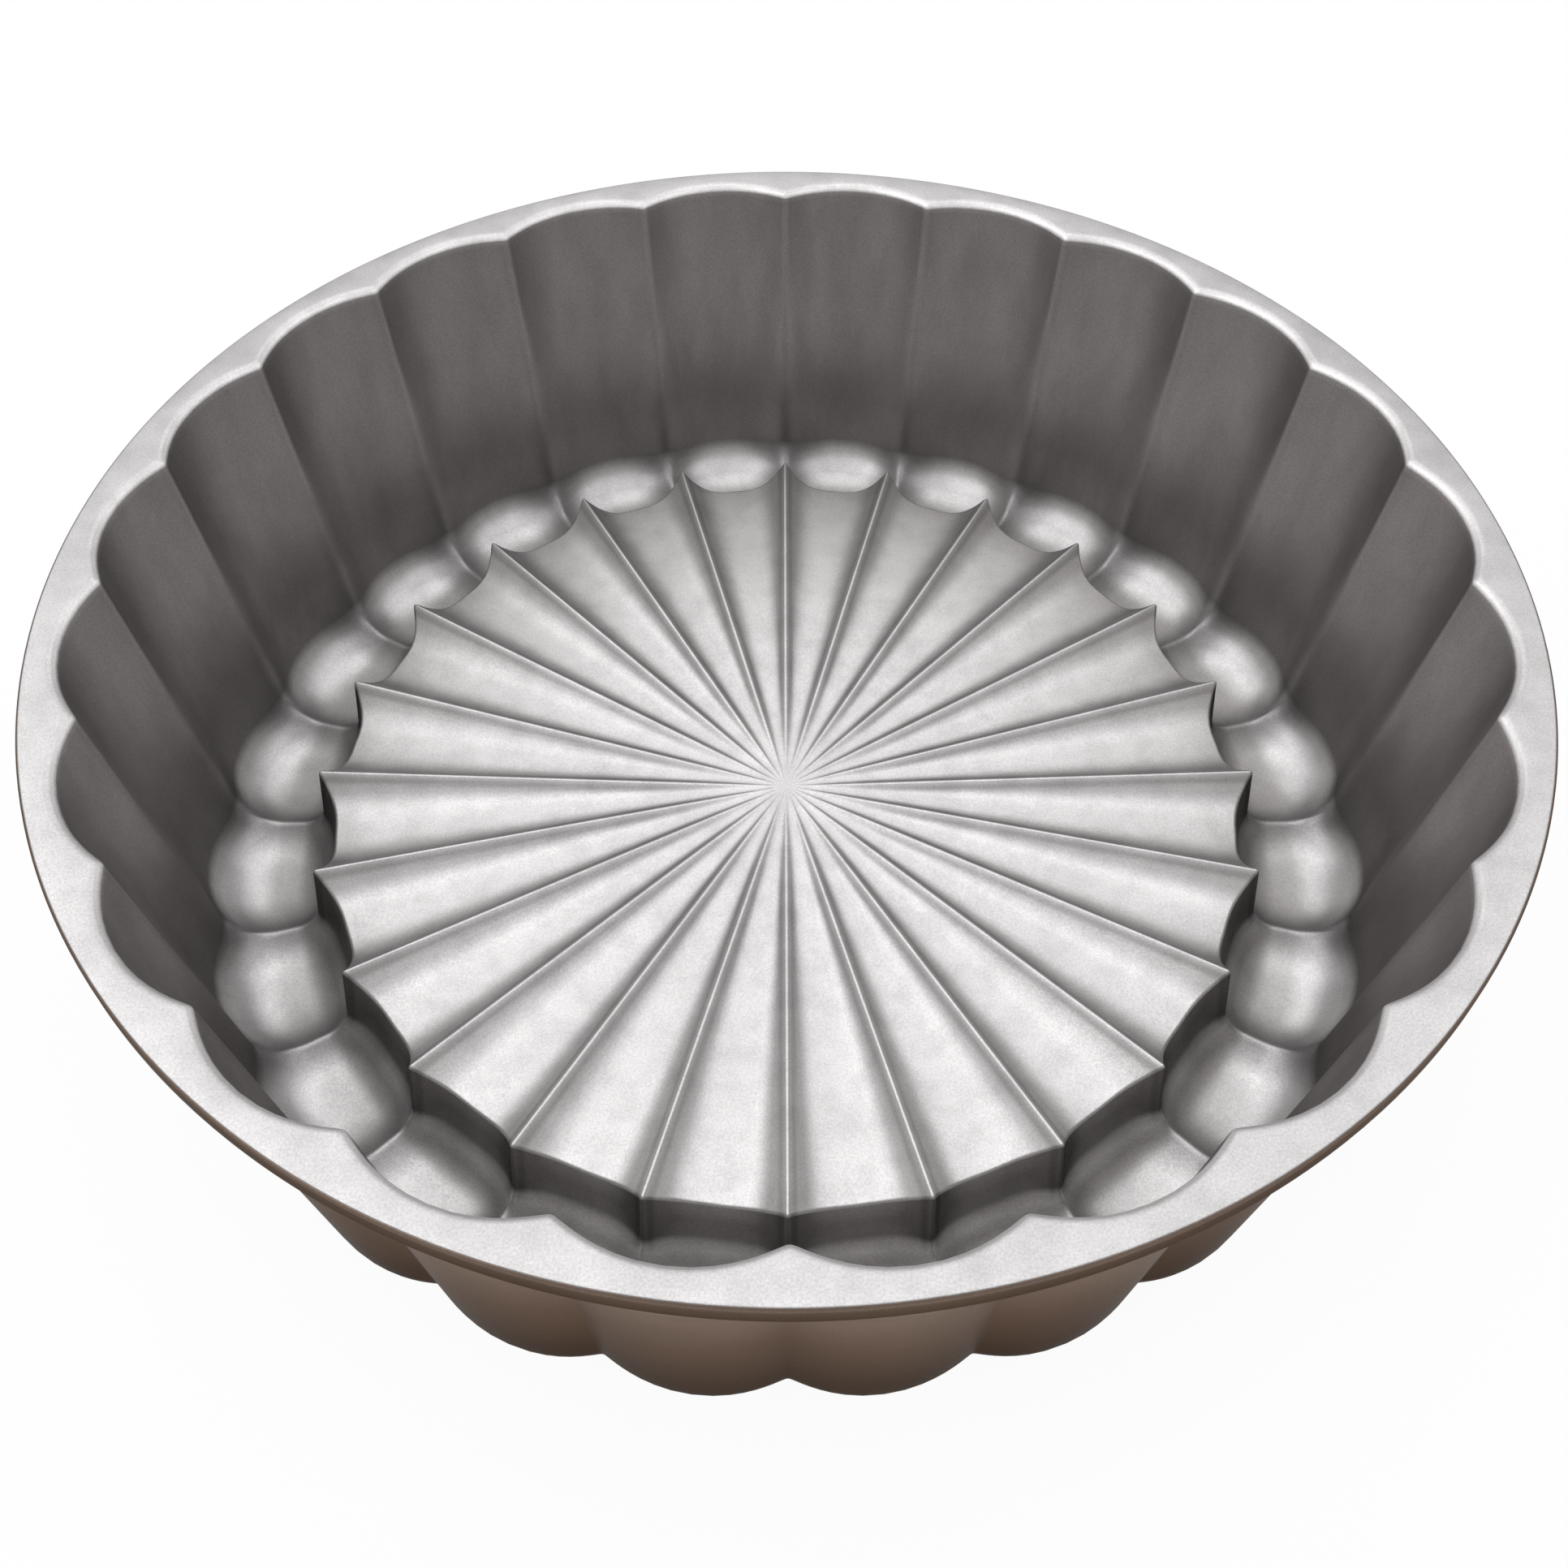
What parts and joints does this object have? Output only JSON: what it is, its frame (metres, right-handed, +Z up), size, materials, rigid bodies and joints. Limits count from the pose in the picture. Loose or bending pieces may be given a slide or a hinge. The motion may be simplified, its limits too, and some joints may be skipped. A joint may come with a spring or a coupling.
{
  "type": "charlotte mould",
  "caption": "Round one-piece cast baking mould with a fluted wall, a flat rim, a ring of cups at the foot of the wall and a raised disc of radial channels.",
  "frame": {"origin": "middle of the base, on the plane that the feet under the lobes stand on", "axes": "+Z up along the mould's axis, towards the open mouth; +X through a ridge between two flutes"},
  "size_m": [0.256, 0.256, 0.0765],
  "materials": {
    "grey_lining": "fine-grained silver-grey non-stick coating on the rim's land and all over the inside",
    "bronze_coat": "smooth satin bronze-brown coating on the rim's edge and all over the outside and underside"
  },
  "bodies": {
    "root": {"mould_body": "grey_lining"}
  },
  "joints": []
}
